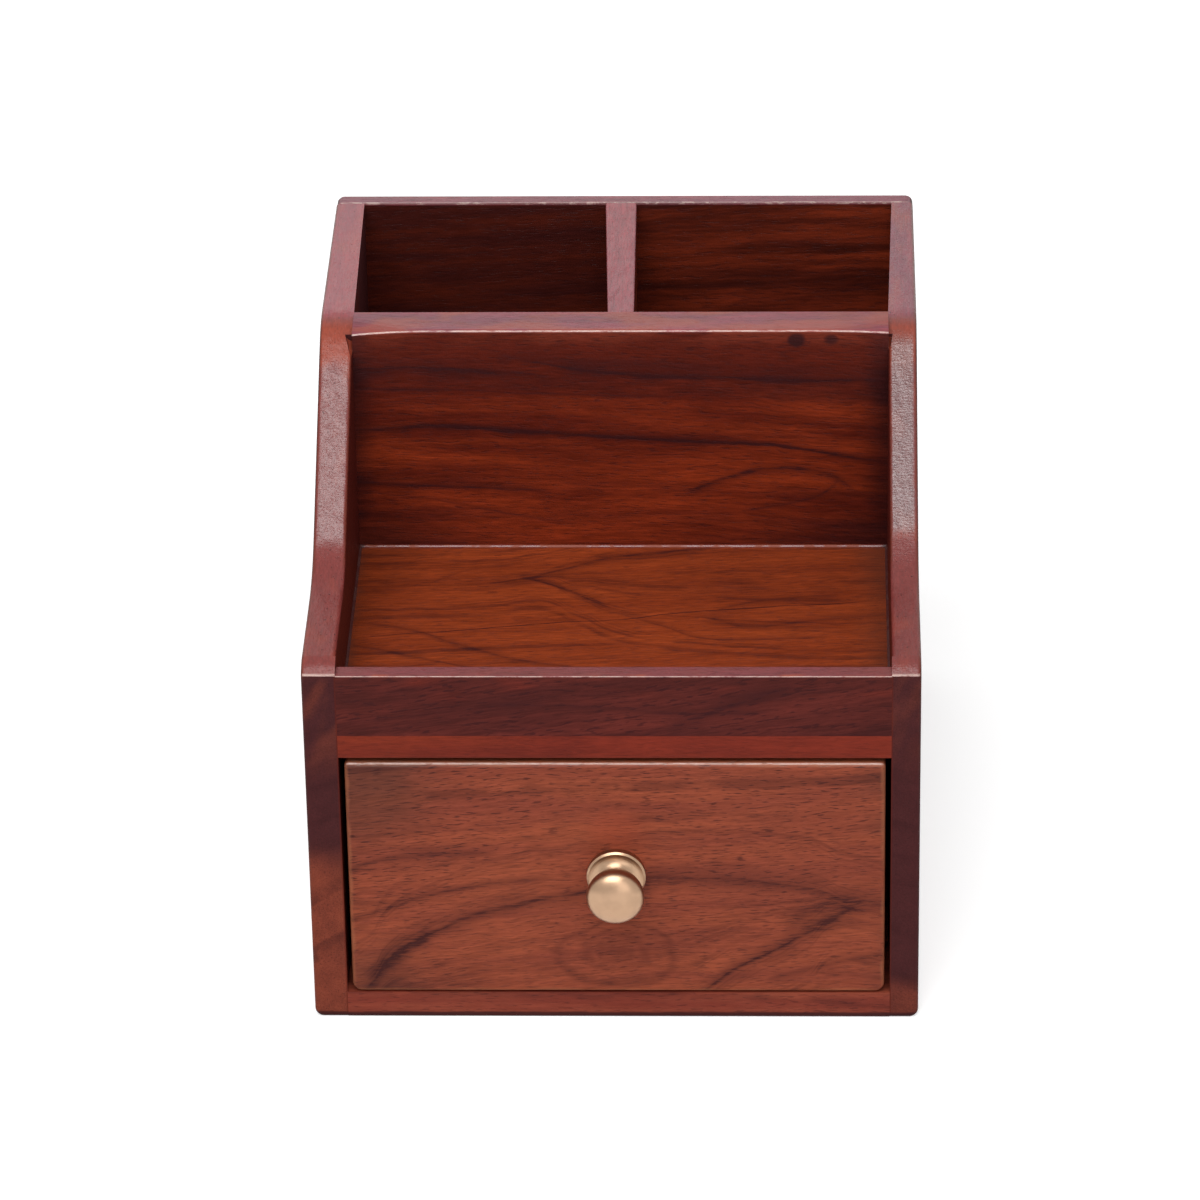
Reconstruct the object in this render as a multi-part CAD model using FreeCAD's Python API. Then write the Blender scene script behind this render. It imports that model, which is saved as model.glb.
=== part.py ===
import FreeCAD
import Part

import math
import os

from FreeCAD import Vector

# Desk pen stand with one drawer, built board by board in solid wood.
#
# Millimetres, +Z up, the drawer opens towards -Y.  The origin is the centre of the case's footprint on
# the table.  "Front" and "back" are along Y, "left" and "right" along X as seen from the front.
#
# The boards are butted: base, shelf, lip and pen box front sit between the two sides, and the back is
# laid over the rear edges of everything.  Sunk brads hold the joints together with the glue.

# ---------------------------------------------------------------- driving sizes

# Case.  Each side thins a little towards the back inside the pen box.
case_width = 152.0
case_depth = 174.0
left_side_thickness = 8.4
right_side_thickness = 7.2
left_rear_thinning = 1.0
right_rear_thinning = 1.6
back_thickness = 5.0
base_thickness = 7.4
drawer_bay_height = 68.6
shelf_thickness = 6.5

# Tray.
lip_height = 17.0
lip_thickness = 5.1

# Pen box: two pockets behind the tray, standing on the shelf.
pocket_height = 62.8
pocket_depth = 63.0
pen_front_thickness = 10.4
divider_front_thickness = 6.8
divider_rear_thickness = 8.2
divider_front_offset = 0.0
divider_rear_offset = -1.4

# Swept top edge of the sides: nose, ledge, hollow bend, slope, shoulder, rim.
ledge_rise = 2.8
nose_run = 6.0
slope_degrees = 37.5
slope_setback = 5.8
bend_radius = 30.0
shoulder_radius = 20.0

# Handwork at the shoulders: the ends of the pen box's top arris are rolled down towards them, and a
# tapering nick runs down each side's arris from beside the pen box.
left_end_dip = 1.3
right_end_dip = 0.7
end_dip_run = 22.0
end_dip_depth = 8.0
end_dip_strokes = (0.15, 0.4, 0.65, 0.9)
left_nick = 2.0
right_nick = 1.1
nick_setback = 2.9
nick_run = 6.5

# Sanded edges.
outer_arris = 1.0
inner_arris = 1.1
front_arris = 0.5
lip_arris = 0.6
foot_round = 2.3
back_corner_round = 2.0
base_arris = 0.8
pen_front_arris = 0.9
divider_arris = 0.5

# Drawer.
drawer_front_thickness = 9.0
drawer_side_thickness = 6.0
drawer_back_thickness = 6.0
drawer_bottom_thickness = 3.0
drawer_side_gap = 1.4
drawer_top_gap = 1.3
running_gap = 0.3
stop_gap = 0.3
front_lap = 4.0
groove_depth = 3.0
groove_rise = 3.5
groove_gap = 0.15
drawer_back_drop = 4.0
drawer_face_round = 1.0
drawer_top_corner = 1.3
drawer_bottom_corner = 2.4

# Turned knob, measured outwards from the drawer's face.
knob_height = 42.6
flange_radius = 7.35
flange_thickness = 2.1
flange_bevel = 0.45
neck_radius = 3.7
ball_radius = 7.2
ball_reach = 11.0
ball_dome = 3.8

# Screw and washer that hold the knob from inside the drawer.
screw_radius = 1.97
screw_bite = 6.0
thread_gap = 0.03
screw_hole_gap = 0.25
bore_run_out = 1.2
screw_head_radius = 3.8
screw_head_height = 2.3
screw_head_round = 1.3
recess_width = 0.9
recess_length = 4.2
recess_depth = 1.2
washer_radius = 4.8
washer_thickness = 0.8

# Brads and pins.
brad_length = 22.0
brad_shank_radius = 0.7
brad_head_radius = 1.1
brad_head_height = 0.6
brad_point = 1.8
brad_gap = 0.03
brad_inset = 18.0
brad_sunk = 1.5
shelf_brad_length = 15.0
drawer_brad_length = 14.0
drawer_bottom_brad_length = 10.0
pin_length = 18.0
pin_shank_radius = 0.6
pin_head_radius = 1.5
pin_head_height = 0.7

# ---------------------------------------------------------------- places worked out from the sizes

SAME = 0.01
corner_cutter_height = 10.0

# How far along its tangents a Bezier curve's handles lie to draw a quarter of an oval.
QUARTER_ROUND = 0.5523

LEFT = Vector(-1, 0, 0)
RIGHT = Vector(1, 0, 0)
FORWARD = Vector(0, -1, 0)
BACKWARD = Vector(0, 1, 0)
UP = Vector(0, 0, 1)

left_x = -case_width / 2
right_x = case_width / 2
inner_left_x = left_x + left_side_thickness
inner_right_x = right_x - right_side_thickness
middle_x = (inner_left_x + inner_right_x) / 2

front_y = -case_depth / 2
back_y = case_depth / 2
back_face_y = back_y - back_thickness
pocket_front_y = back_face_y - pocket_depth
pen_front_y = pocket_front_y - pen_front_thickness
lip_rear_y = front_y + lip_thickness

shelf_under_z = base_thickness + drawer_bay_height
shelf_top_z = shelf_under_z + shelf_thickness
lip_top_z = shelf_top_z + lip_height
ledge_z = lip_top_z + ledge_rise
rim_z = shelf_top_z + pocket_height

drawer_left_x = inner_left_x + drawer_side_gap
drawer_right_x = inner_right_x - drawer_side_gap
drawer_inner_left_x = drawer_left_x + drawer_side_thickness
drawer_inner_right_x = drawer_right_x - drawer_side_thickness
drawer_middle_x = (drawer_left_x + drawer_right_x) / 2
drawer_low_z = base_thickness + running_gap
drawer_top_z = shelf_under_z - drawer_top_gap
drawer_front_rear_y = front_y + drawer_front_thickness
drawer_lap_y = front_y + front_lap
drawer_rear_y = back_face_y - stop_gap
drawer_back_front_y = drawer_rear_y - drawer_back_thickness
groove_low_z = drawer_low_z + groove_rise
groove_high_z = groove_low_z + drawer_bottom_thickness + groove_gap
bottom_top_z = groove_low_z + drawer_bottom_thickness


# ---------------------------------------------------------------- shared operations

def block(x0, x1, y0, y1, z0, z1):
    """A squared board between two corners."""
    return Part.makeBox(x1 - x0, y1 - y0, z1 - z0, Vector(x0, y0, z0))


def edges_in(shape, x=None, y=None, z=None):
    """The edges that lie wholly in each of the given planes."""
    def within(plane, low, high):
        return plane is None or max(abs(low - plane), abs(high - plane)) < SAME

    found = []
    for edge in shape.Edges:
        box = edge.BoundBox
        if within(x, box.XMin, box.XMax) and within(y, box.YMin, box.YMax) and within(z, box.ZMin, box.ZMax):
            found.append(edge)
    return found


def rounded_corner(before, corner, after, radius):
    """An arc that rounds the corner between two straight runs, tangent to both."""
    to_before = (before - corner).normalize()
    to_after = (after - corner).normalize()
    half = to_before.getAngle(to_after) / 2
    tangent = radius / math.tan(half)
    middle = (to_before + to_after).normalize()
    top = corner + middle * (radius / math.sin(half) - radius)
    return Part.Arc(corner + to_before * tangent, top, corner + to_after * tangent)


def above_triangle(first, second, third, height=corner_cutter_height):
    """What stands straight above a triangle, to shave a corner or a wedge off a board."""
    face = Part.Face(Part.makePolygon([first, second, third, first]))
    return face.extrude(UP * height)


def turned(outline, place, direction):
    """A solid turned from a closed outline of edges in the XZ plane, its axis then laid along direction."""
    solid = Part.Face(Part.Wire(outline)).revolve(Vector(0, 0, 0), UP, 360)
    solid.Placement = FreeCAD.Placement(place, FreeCAD.Rotation(UP, direction))
    return solid


def straight_edges(points):
    """Edges through (radius, height) points, closed back to the first."""
    corners = [Vector(radius, 0, height) for radius, height in points]
    return Part.makePolygon(corners + corners[:1]).Edges


def cut_all(board, tools):
    """The board with every tool cut out of it."""
    return board.cut(tools) if tools else board


# ---------------------------------------------------------------- brads and pins

class Nails:
    """A row of like nails: where each head's top is, which way it is driven, and its sizes."""

    def __init__(self, places, direction, length, head_radius, head_height, shank_radius, sunk=0.0):
        self.places = places
        self.direction = direction
        self.length = length
        self.head_radius = head_radius
        self.head_height = head_height
        self.shank_radius = shank_radius
        self.sunk = sunk

    def outline(self, gap):
        point_radius = self.shank_radius / 4
        return straight_edges([
            (0, 0),
            (self.head_radius + gap, 0),
            (self.head_radius + gap, self.head_height + gap),
            (self.shank_radius + gap, self.head_height + gap),
            (self.shank_radius + gap, self.length - brad_point),
            (point_radius + gap, self.length + gap),
            (0, self.length + gap),
        ])

    def solids(self):
        return [turned(self.outline(0), place + self.direction * self.sunk, self.direction)
                for place in self.places]

    def holes(self):
        """What the nails and the plugs over their sunk heads take out of the wood."""
        holes = [turned(self.outline(brad_gap), place + self.direction * self.sunk, self.direction)
                 for place in self.places]
        if self.sunk:
            radius = self.head_radius + brad_gap
            holes += [Part.makeCylinder(radius, self.sunk, place, self.direction) for place in self.places]
        return holes

    def plugs(self):
        """The putty that fills each hole over a sunk head."""
        return [Part.makeCylinder(self.head_radius, self.sunk, place, self.direction)
                for place in self.places]


def brads(places, direction, length, sunk=0.0):
    return Nails(places, direction, length, brad_head_radius, brad_head_height, brad_shank_radius, sunk)


def side_brad_places(x):
    """Into the ends of base, shelf, lip and pen box front."""
    rows = (front_y + brad_inset, (front_y + back_face_y) / 2, back_face_y - brad_inset)
    places = [Vector(x, y, base_thickness / 2) for y in rows]
    places += [Vector(x, y, shelf_under_z + shelf_thickness / 2) for y in rows]
    places += [Vector(x, (front_y + lip_rear_y) / 2, (shelf_top_z + lip_top_z) / 2)]
    pen_front_middle_y = (pen_front_y + pocket_front_y) / 2
    places += [Vector(x, pen_front_middle_y, z) for z in (shelf_top_z + brad_inset, rim_z - brad_inset)]
    return places


def back_pin_places():
    """Into the rear edges of the sides, base, shelf and divider."""
    bay_middle_z = (base_thickness + shelf_under_z) / 2
    side_rows = (brad_inset, bay_middle_z, shelf_top_z + brad_inset, rim_z - brad_inset)
    columns = ((left_x + inner_left_x) / 2, (right_x + inner_right_x) / 2)
    places = [Vector(x, back_y, z) for x in columns for z in side_rows]
    quarter = (inner_right_x - inner_left_x) / 4
    for z in (base_thickness / 2, shelf_under_z + shelf_thickness / 2):
        places += [Vector(middle_x + side * quarter, back_y, z) for side in (-1, 1)]
    places += [Vector(middle_x + divider_rear_offset, back_y, (shelf_top_z + rim_z) / 2)]
    return places


def shelf_brad_places():
    """Up through the shelf into the lip, the pen box front and the divider."""
    quarter = (inner_right_x - inner_left_x) / 4
    lip_middle_y = (front_y + lip_rear_y) / 2
    pen_front_middle_y = (pen_front_y + pocket_front_y) / 2
    places = [Vector(middle_x + side * quarter, lip_middle_y, shelf_under_z) for side in (-1, 0, 1)]
    places += [Vector(middle_x + side * quarter, pen_front_middle_y, shelf_under_z) for side in (-1, 1)]
    divider_middle_x = middle_x + (divider_front_offset + divider_rear_offset) / 2
    places += [Vector(divider_middle_x, (pocket_front_y + back_face_y) / 2, shelf_under_z)]
    return places


def drawer_side_brad_places(x):
    """Into the end of the drawer front and of the drawer back."""
    rows = (drawer_low_z + brad_inset, drawer_top_z - brad_inset)
    columns = ((drawer_lap_y + drawer_front_rear_y) / 2, (drawer_back_front_y + drawer_rear_y) / 2)
    return [Vector(x, y, z) for y in columns for z in rows]


def drawer_bottom_brad_places():
    """Up through the thin bottom into the lower edge of the drawer back."""
    quarter = (drawer_inner_right_x - drawer_inner_left_x) / 4
    y = (drawer_back_front_y + drawer_rear_y) / 2
    return [Vector(drawer_middle_x + side * quarter, y, groove_low_z) for side in (-1, 0, 1)]


left_brads = brads(side_brad_places(left_x), RIGHT, brad_length, brad_sunk)
right_brads = brads(side_brad_places(right_x), LEFT, brad_length, brad_sunk)
shelf_nails = brads(shelf_brad_places(), UP, shelf_brad_length)
back_pins = Nails(back_pin_places(), FORWARD, pin_length, pin_head_radius, pin_head_height, pin_shank_radius)
drawer_left_nails = brads(drawer_side_brad_places(drawer_left_x), RIGHT, drawer_brad_length)
drawer_right_nails = brads(drawer_side_brad_places(drawer_right_x), LEFT, drawer_brad_length)
drawer_bottom_nails = brads(drawer_bottom_brad_places(), UP, drawer_bottom_brad_length)


# ---------------------------------------------------------------- case

def swept_face():
    """The outline of a side board, from nose to rim, as a face in the YZ plane."""
    slope = math.radians(slope_degrees)
    shoulder_y = pen_front_y + slope_setback
    bend_y = shoulder_y - (rim_z - ledge_z) / math.tan(slope)

    nose_radius = (nose_run ** 2 + ledge_rise ** 2) / (2 * ledge_rise)
    nose_turn = math.atan2(nose_run, nose_radius - ledge_rise)
    nose_start = Vector(0, front_y, lip_top_z)
    nose_end = Vector(0, front_y + nose_run, ledge_z)
    nose_drop = nose_radius * (1 - math.cos(nose_turn / 2))
    nose_middle = nose_end - Vector(0, nose_radius * math.sin(nose_turn / 2), nose_drop)

    bend = Vector(0, bend_y, ledge_z)
    shoulder = Vector(0, shoulder_y, rim_z)
    rim_end = Vector(0, back_face_y, rim_z)
    bend_arc = rounded_corner(nose_end, bend, shoulder, bend_radius)
    shoulder_arc = rounded_corner(bend, shoulder, rim_end, shoulder_radius)

    foot_front = Vector(0, front_y, 0)
    foot_back = Vector(0, back_face_y, 0)
    edges = [
        Part.Arc(nose_start, nose_middle, nose_end),
        Part.LineSegment(nose_end, bend_arc.StartPoint),
        bend_arc,
        Part.LineSegment(bend_arc.EndPoint, shoulder_arc.StartPoint),
        shoulder_arc,
        Part.LineSegment(shoulder_arc.EndPoint, rim_end),
        Part.LineSegment(rim_end, foot_back),
        Part.LineSegment(foot_back, foot_front),
        Part.LineSegment(foot_front, nose_start),
    ]
    return Part.Face(Part.Wire([edge.toShape() for edge in edges]))


def slope_height(y):
    """How high the slope stands above the table at y."""
    return rim_z - (pen_front_y + slope_setback - y) * math.tan(math.radians(slope_degrees))


def nick_cutter(inner_x, depth):
    """The nick in a side's inner arris: a cone up the slope from its tip, cut off square at the rear."""
    rear_y = pen_front_y + nick_setback
    tip_y = rear_y - nick_run
    tip = Vector(inner_x, tip_y, slope_height(tip_y))
    run = Vector(inner_x, rear_y, slope_height(rear_y)) - tip
    cone = Part.makeCone(0, 2 * depth, 2 * run.Length, tip, run)
    return cone.common(block(left_x, right_x, tip_y, rear_y, shelf_top_z, rim_z + depth))


def thinning_cutter(inner_x, outward, thinning):
    """The wedge off a side's inner face that widens the pen box towards the back."""
    front = Vector(inner_x, pocket_front_y, shelf_top_z)
    rear = Vector(inner_x, back_face_y, shelf_top_z)
    thinned = Vector(inner_x + outward * thinning, back_face_y, shelf_top_z)
    return above_triangle(front, rear, thinned, pocket_height)


def side_board(outer_x, inner_x, thinning, nick):
    """A side: its outline through its thickness, with the outer arris and the tray's arris sanded."""
    face = swept_face()
    face.translate(Vector(min(outer_x, inner_x), 0, 0))
    board = face.extrude(Vector(abs(inner_x - outer_x), 0, 0))

    foot = edges_in(board, x=outer_x, z=0)
    board = board.makeFillet(foot_round, foot)
    arrises = [edge for edge in edges_in(board, x=outer_x)
               if edge.BoundBox.YMin < back_face_y - SAME and edge.BoundBox.ZMax > foot_round + SAME]
    board = board.makeFillet(outer_arris, arrises)

    # Only the stretch of the inner arris beside the tray is rounded: it is flush with the lip in front
    # of it and with the pen box behind it.
    beside_tray = block(left_x, right_x, lip_rear_y, pen_front_y, shelf_top_z, rim_z)
    tray_part = board.common(beside_tray)
    rest = board.cut(beside_tray)
    arrises = [edge for edge in edges_in(tray_part, x=inner_x)
               if edge.BoundBox.ZMin > shelf_top_z + SAME and edge.BoundBox.YLength > SAME]
    tray_part = tray_part.makeFillet(inner_arris, arrises)
    outward = 1 if outer_x > inner_x else -1
    rest = rest.cut(thinning_cutter(inner_x, outward, thinning))
    board = rest.fuse(tray_part).removeSplitter()
    return board.cut(nick_cutter(inner_x, nick))


def left_side():
    board = side_board(left_x, inner_left_x, left_rear_thinning, left_nick)
    return cut_all(board, left_brads.holes() + back_pins.holes())


def right_side():
    board = side_board(right_x, inner_right_x, right_rear_thinning, right_nick)
    return cut_all(board, right_brads.holes() + back_pins.holes())


def base_board():
    board = block(inner_left_x, inner_right_x, front_y, back_face_y, 0, base_thickness)
    board = board.makeFillet(base_arris, edges_in(board, y=front_y, z=0))
    return cut_all(board, left_brads.holes() + right_brads.holes() + back_pins.holes())


def shelf_board():
    board = block(inner_left_x, inner_right_x, front_y, back_face_y, shelf_under_z, shelf_top_z)
    board = board.makeFillet(front_arris, edges_in(board, y=front_y, z=shelf_under_z))
    nails = left_brads.holes() + right_brads.holes() + back_pins.holes() + shelf_nails.holes()
    return cut_all(board, nails)


def front_lip():
    board = block(inner_left_x, inner_right_x, front_y, lip_rear_y, shelf_top_z, lip_top_z)
    board = board.makeFillet(lip_arris, edges_in(board, y=lip_rear_y, z=lip_top_z))
    board = board.makeFillet(front_arris, edges_in(board, y=front_y, z=lip_top_z))
    return cut_all(board, left_brads.holes() + right_brads.holes() + shelf_nails.holes())


def end_dip_cutters(end_x, inward, dip):
    """What sanding took off one end of the pen box's top front arris, most of it at the corner.

    Each stroke lies along a parabola that leaves the flat top level and is down by dip at the corner.
    """
    corner = Vector(end_x, pen_front_y, rim_z)
    cutters = []
    for stroke in end_dip_strokes:
        share = 1 - stroke / 2
        down = corner - UP * (dip * stroke * (2 - stroke))
        along = corner + Vector(inward * end_dip_run * share, 0, 0)
        back = corner + Vector(0, end_dip_depth * share, 0)
        cutters.append(above_triangle(down, along, back))
    return cutters


def pen_box_front():
    board = block(inner_left_x, inner_right_x, pen_front_y, pocket_front_y, shelf_top_z, rim_z)
    board = board.cut(end_dip_cutters(inner_left_x, 1, left_end_dip))
    board = board.cut(end_dip_cutters(inner_right_x, -1, right_end_dip))
    lowest_dip_z = rim_z - max(left_end_dip, right_end_dip)
    arrises = [edge for edge in edges_in(board, y=pen_front_y)
               if edge.BoundBox.ZMin > lowest_dip_z - SAME and edge.BoundBox.XLength > SAME]
    board = board.makeFillet(pen_front_arris, arrises)
    return cut_all(board, left_brads.holes() + right_brads.holes() + shelf_nails.holes())


def pen_divider():
    """The board between the pockets: a little thicker at the back, and set slightly askew."""
    front_x = middle_x + divider_front_offset
    rear_x = middle_x + divider_rear_offset
    corners = [
        Vector(front_x - divider_front_thickness / 2, pocket_front_y, shelf_top_z),
        Vector(front_x + divider_front_thickness / 2, pocket_front_y, shelf_top_z),
        Vector(rear_x + divider_rear_thickness / 2, back_face_y, shelf_top_z),
        Vector(rear_x - divider_rear_thickness / 2, back_face_y, shelf_top_z),
    ]
    board = Part.Face(Part.makePolygon(corners + corners[:1])).extrude(Vector(0, 0, rim_z - shelf_top_z))
    long_arrises = [edge for edge in edges_in(board, z=rim_z) if edge.BoundBox.YLength > SAME]
    board = board.makeFillet(divider_arris, long_arrises)
    return cut_all(board, shelf_nails.holes() + back_pins.holes())


def back_panel():
    board = block(left_x, right_x, back_face_y, back_y, 0, rim_z)
    feet = edges_in(board, x=left_x, z=0) + edges_in(board, x=right_x, z=0)
    board = board.makeFillet(foot_round, feet)
    corners = edges_in(board, x=left_x, z=rim_z) + edges_in(board, x=right_x, z=rim_z)
    board = board.makeFillet(back_corner_round, corners)
    board = board.makeFillet(outer_arris, edges_in(board, y=back_y))
    return cut_all(board, back_pins.holes())


# ---------------------------------------------------------------- drawer

def drawer_front():
    """The drawer front, rebated at both ends for the sides and grooved for the bottom."""
    board = block(drawer_left_x, drawer_right_x, front_y, drawer_front_rear_y, drawer_low_z, drawer_top_z)
    for z, radius in ((drawer_low_z, drawer_bottom_corner), (drawer_top_z, drawer_top_corner)):
        corners = edges_in(board, x=drawer_left_x, z=z) + edges_in(board, x=drawer_right_x, z=z)
        board = board.makeFillet(radius, corners)
    board = board.makeFillet(drawer_face_round, edges_in(board, y=front_y))

    rebates = [
        block(x0, x1, drawer_lap_y, drawer_front_rear_y, drawer_low_z, drawer_top_z)
        for x0, x1 in ((drawer_left_x, drawer_inner_left_x), (drawer_inner_right_x, drawer_right_x))
    ]
    groove_y = drawer_front_rear_y - groove_depth
    groove = block(drawer_inner_left_x, drawer_inner_right_x, groove_y, drawer_front_rear_y,
                   groove_low_z, groove_high_z)
    hole_centre = Vector(drawer_middle_x, front_y, knob_height)
    hole_radius = screw_radius + screw_hole_gap
    screw_hole = Part.makeCylinder(hole_radius, drawer_front_thickness, hole_centre, BACKWARD)
    nails = drawer_left_nails.holes() + drawer_right_nails.holes()
    return cut_all(board, rebates + [groove, screw_hole] + nails)


def drawer_side(outer_x, inner_x, nails):
    """A drawer side, from the rebate in the front to the stop, with the bottom's groove along it."""
    low_x, high_x = sorted((outer_x, inner_x))
    board = block(low_x, high_x, drawer_lap_y, drawer_rear_y, drawer_low_z, drawer_top_z)
    board = board.makeFillet(drawer_top_corner, edges_in(board, x=outer_x, z=drawer_top_z))
    board = board.makeFillet(drawer_bottom_corner, edges_in(board, x=outer_x, z=drawer_low_z))
    inward = 1 if inner_x > outer_x else -1
    groove_x0, groove_x1 = sorted((inner_x, inner_x - inward * groove_depth))
    groove = block(groove_x0, groove_x1, drawer_lap_y, drawer_rear_y, groove_low_z, groove_high_z)
    return cut_all(board, [groove] + nails.holes())


def drawer_left_side():
    return drawer_side(drawer_left_x, drawer_inner_left_x, drawer_left_nails)


def drawer_right_side():
    return drawer_side(drawer_right_x, drawer_inner_right_x, drawer_right_nails)


def drawer_back():
    """The drawer back stands on the bottom panel, a little lower than the sides."""
    board = block(drawer_inner_left_x, drawer_inner_right_x, drawer_back_front_y, drawer_rear_y,
                  bottom_top_z, drawer_top_z - drawer_back_drop)
    nails = drawer_left_nails.holes() + drawer_right_nails.holes() + drawer_bottom_nails.holes()
    return cut_all(board, nails)


def drawer_bottom():
    """A thin panel slid into the grooves from behind, under the drawer back."""
    reach = groove_depth - groove_gap
    board = block(drawer_inner_left_x - reach, drawer_inner_right_x + reach,
                  drawer_front_rear_y - reach, drawer_rear_y, groove_low_z, bottom_top_z)
    return cut_all(board, drawer_bottom_nails.holes())


# ---------------------------------------------------------------- knob and its screw

def knob_outline():
    """Flange, cove, neck, round back of the ball and its flatter dome, from the bore to the tip."""
    bore_radius = screw_radius + thread_gap
    bore_depth = screw_bite + bore_run_out
    rim = flange_radius - flange_bevel
    back_half = math.sqrt(ball_radius ** 2 - neck_radius ** 2)
    neck_reach = ball_reach - back_half
    tip = Vector(0, 0, ball_reach + ball_dome)

    # The cove leaves the flange's face and runs up to the neck, parallel to the axis there.
    cove_start = Vector(rim, 0, flange_thickness)
    cove_end = Vector(neck_radius, 0, neck_reach)
    across = rim - neck_radius
    along = neck_reach - flange_thickness
    cove_radius = (across ** 2 + along ** 2) / (2 * across)
    cove_centre = Vector(neck_radius + cove_radius, 0, neck_reach)
    half_turn = math.atan2(along, cove_radius - across) / 2
    cove_middle = cove_centre - Vector(math.cos(half_turn), 0, math.sin(half_turn)) * cove_radius

    # The back of the ball is round about the axis, from the neck to its widest ring.
    equator = Vector(ball_radius, 0, ball_reach)
    ball = Part.Circle(Vector(0, 0, ball_reach), FORWARD, ball_radius)
    ball_back = Part.ArcOfCircle(ball, ball.parameter(cove_end), ball.parameter(equator))

    # Its front is a flat quarter oval, square to the axis at the tip.
    dome = Part.BezierCurve()
    dome.setPoles([
        equator,
        equator + Vector(0, 0, ball_dome * QUARTER_ROUND),
        tip + Vector(ball_radius * QUARTER_ROUND, 0, 0),
        tip,
    ])

    corners = [
        tip,
        Vector(0, 0, bore_depth),
        Vector(bore_radius, 0, bore_depth),
        Vector(bore_radius, 0, 0),
        Vector(flange_radius, 0, 0),
        Vector(flange_radius, 0, flange_thickness - flange_bevel),
        cove_start,
    ]
    edges = Part.makePolygon(corners).Edges
    edges.append(Part.Arc(cove_start, cove_middle, cove_end).toShape())
    edges.append(ball_back.toShape())
    edges.append(dome.toShape())
    return edges


def drawer_knob():
    return turned(knob_outline(), Vector(drawer_middle_x, front_y, knob_height), FORWARD)


def knob_washer():
    hole_radius = screw_radius + screw_hole_gap
    outline = straight_edges([
        (hole_radius, 0),
        (washer_radius, 0),
        (washer_radius, washer_thickness),
        (hole_radius, washer_thickness),
    ])
    return turned(outline, Vector(drawer_middle_x, drawer_front_rear_y, knob_height), BACKWARD)


def knob_screw():
    """A pan-headed machine screw with a cross recess, driven forwards from inside the drawer."""
    head_y = drawer_front_rear_y + washer_thickness
    length = washer_thickness + drawer_front_thickness + screw_bite
    outline = straight_edges([
        (0, -screw_head_height),
        (screw_head_radius - screw_head_round, -screw_head_height),
        (screw_head_radius, -screw_head_height + screw_head_round),
        (screw_head_radius, 0),
        (screw_radius, 0),
        (screw_radius, length),
        (0, length),
    ])
    screw = turned(outline, Vector(drawer_middle_x, head_y, knob_height), FORWARD)
    recess_y = head_y + screw_head_height - recess_depth
    half_length = recess_length / 2
    half_width = recess_width / 2
    slots = [
        block(drawer_middle_x - across, drawer_middle_x + across, recess_y, recess_y + recess_depth,
              knob_height - up, knob_height + up)
        for across, up in ((half_length, half_width), (half_width, half_length))
    ]
    return cut_all(screw, slots)


# ---------------------------------------------------------------- every piece, by its name

PIECES = {
    "left_side": left_side,
    "right_side": right_side,
    "base_board": base_board,
    "shelf_board": shelf_board,
    "front_lip": front_lip,
    "pen_box_front": pen_box_front,
    "pen_divider": pen_divider,
    "back_panel": back_panel,
    "drawer_front": drawer_front,
    "drawer_left_side": drawer_left_side,
    "drawer_right_side": drawer_right_side,
    "drawer_back": drawer_back,
    "drawer_bottom": drawer_bottom,
    "drawer_knob": drawer_knob,
    "knob_washer": knob_washer,
    "knob_screw": knob_screw,
}

NAIL_GROUPS = {
    "left_side_brads": left_brads.solids,
    "right_side_brads": right_brads.solids,
    "left_side_plugs": left_brads.plugs,
    "right_side_plugs": right_brads.plugs,
    "back_panel_pins": back_pins.solids,
    "shelf_brads": shelf_nails.solids,
    "drawer_left_brads": drawer_left_nails.solids,
    "drawer_right_brads": drawer_right_nails.solids,
    "drawer_bottom_brads": drawer_bottom_nails.solids,
}


def main():
    os.makedirs("parts", exist_ok=True)
    for name, make in PIECES.items():
        make().exportStep("parts/" + name + ".step")
    for name, make in NAIL_GROUPS.items():
        Part.makeCompound(make()).exportStep("parts/" + name + ".step")


main()
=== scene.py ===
import math

import bmesh
import bpy
from bpy.props import FloatProperty, FloatVectorProperty, IntProperty, PointerProperty
from mathutils import Matrix, Vector


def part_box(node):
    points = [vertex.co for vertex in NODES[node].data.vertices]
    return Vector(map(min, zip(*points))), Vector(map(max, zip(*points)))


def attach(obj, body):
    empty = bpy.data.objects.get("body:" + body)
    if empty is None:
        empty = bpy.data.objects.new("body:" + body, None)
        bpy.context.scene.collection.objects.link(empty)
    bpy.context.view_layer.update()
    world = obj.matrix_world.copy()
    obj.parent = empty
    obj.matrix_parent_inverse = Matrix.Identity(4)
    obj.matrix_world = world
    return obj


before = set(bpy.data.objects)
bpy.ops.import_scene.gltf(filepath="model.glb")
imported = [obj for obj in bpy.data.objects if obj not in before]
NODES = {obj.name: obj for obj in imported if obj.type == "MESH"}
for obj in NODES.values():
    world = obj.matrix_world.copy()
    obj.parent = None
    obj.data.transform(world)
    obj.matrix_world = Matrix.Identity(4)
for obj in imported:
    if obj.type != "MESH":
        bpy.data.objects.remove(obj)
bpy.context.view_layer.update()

bl_info = {
    "name": "Desk pen stand finishes",
    "version": (1, 0, 0),
    "blender": (4, 5, 0),
    "location": "3D View > Sidebar > Pen stand",
    "description": "Lacquered wood, turned brass and wire nails for a small desk stand with a drawer",
    "category": "Object",
}

MM = 0.001
LONGEST_BEAD = 0.136  # metres, along the tray's rear joint


def tone(red, green, blue):
    """A colour as it looks on a screen, 0 to 255, turned into the light it gives back."""
    parts = [part / 255 for part in (red, green, blue)]
    return tuple(part / 12.92 if part <= 0.04045 else ((part + 0.055) / 1.055) ** 2.4 for part in parts)


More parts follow.
